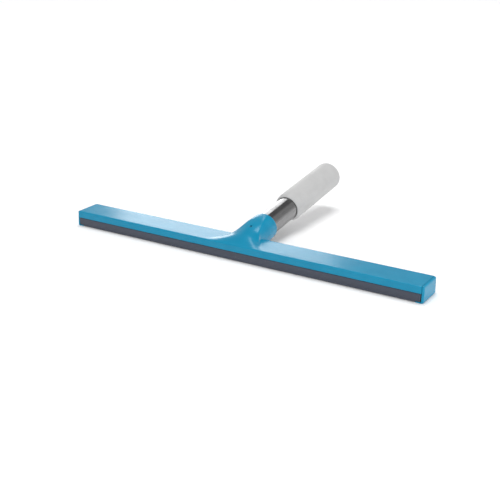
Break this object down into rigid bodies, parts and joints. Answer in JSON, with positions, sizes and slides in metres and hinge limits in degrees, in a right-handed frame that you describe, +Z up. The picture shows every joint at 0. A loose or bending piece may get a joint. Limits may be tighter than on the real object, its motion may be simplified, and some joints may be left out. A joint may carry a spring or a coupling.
{
  "type": "squeegee applicator",
  "caption": "T-shaped wet-application squeegee: moulded head bar with a flush rubber edge, flared neck, steel tube and sleeve grip.",
  "frame": {"origin": "middle of the head bar's underside, in the plane the tool lies on", "axes": "+X along the bar, +Y from the working edge towards the grip, +Z up out of the lying face"},
  "size_m": [0.45, 0.2328, 0.0583],
  "materials": {
    "blue_plastic": "satin-gloss injection moulding, cyan blue",
    "dark_rubber": "matte dark grey rubber",
    "rail_aluminium": "mill-finish extrusion",
    "zinc_steel": "zinc-plated steel",
    "stainless_tube": "polished stainless tube",
    "black_nylon": "black glass-filled nylon",
    "brass": "turned brass",
    "grey_grip": "light grey matte sleeve"
  },
  "bodies": {
    "head_and_handle": {"head_housing": "blue_plastic", "base_plate": "blue_plastic", "edge_strip": "dark_rubber", "strip_carrier": "rail_aluminium", "base_screw_1": "zinc_steel", "base_screw_2": "zinc_steel", "base_screw_3": "zinc_steel", "base_screw_4": "zinc_steel", "base_screw_5": "zinc_steel", "base_screw_6": "zinc_steel", "base_screw_7": "zinc_steel", "base_screw_8": "zinc_steel", "handle_tube": "stainless_tube", "tube_core": "black_nylon", "core_insert": "brass", "lock_screw": "zinc_steel", "grip_sleeve": "grey_grip", "grip_end_plug": "grey_grip"},
    "left_cap": {"end_cap_left": "blue_plastic"},
    "right_cap": {"end_cap_right": "blue_plastic"}
  },
  "joints": [
    {"name": "left_cap_pull", "type": "slide", "parent": "head_and_handle", "child": "left_cap", "axis": [-1, 0, 0], "range_m": [0, 0.014]},
    {"name": "right_cap_pull", "type": "slide", "parent": "head_and_handle", "child": "right_cap", "axis": [1, 0, 0], "range_m": [0, 0.014]}
  ]
}
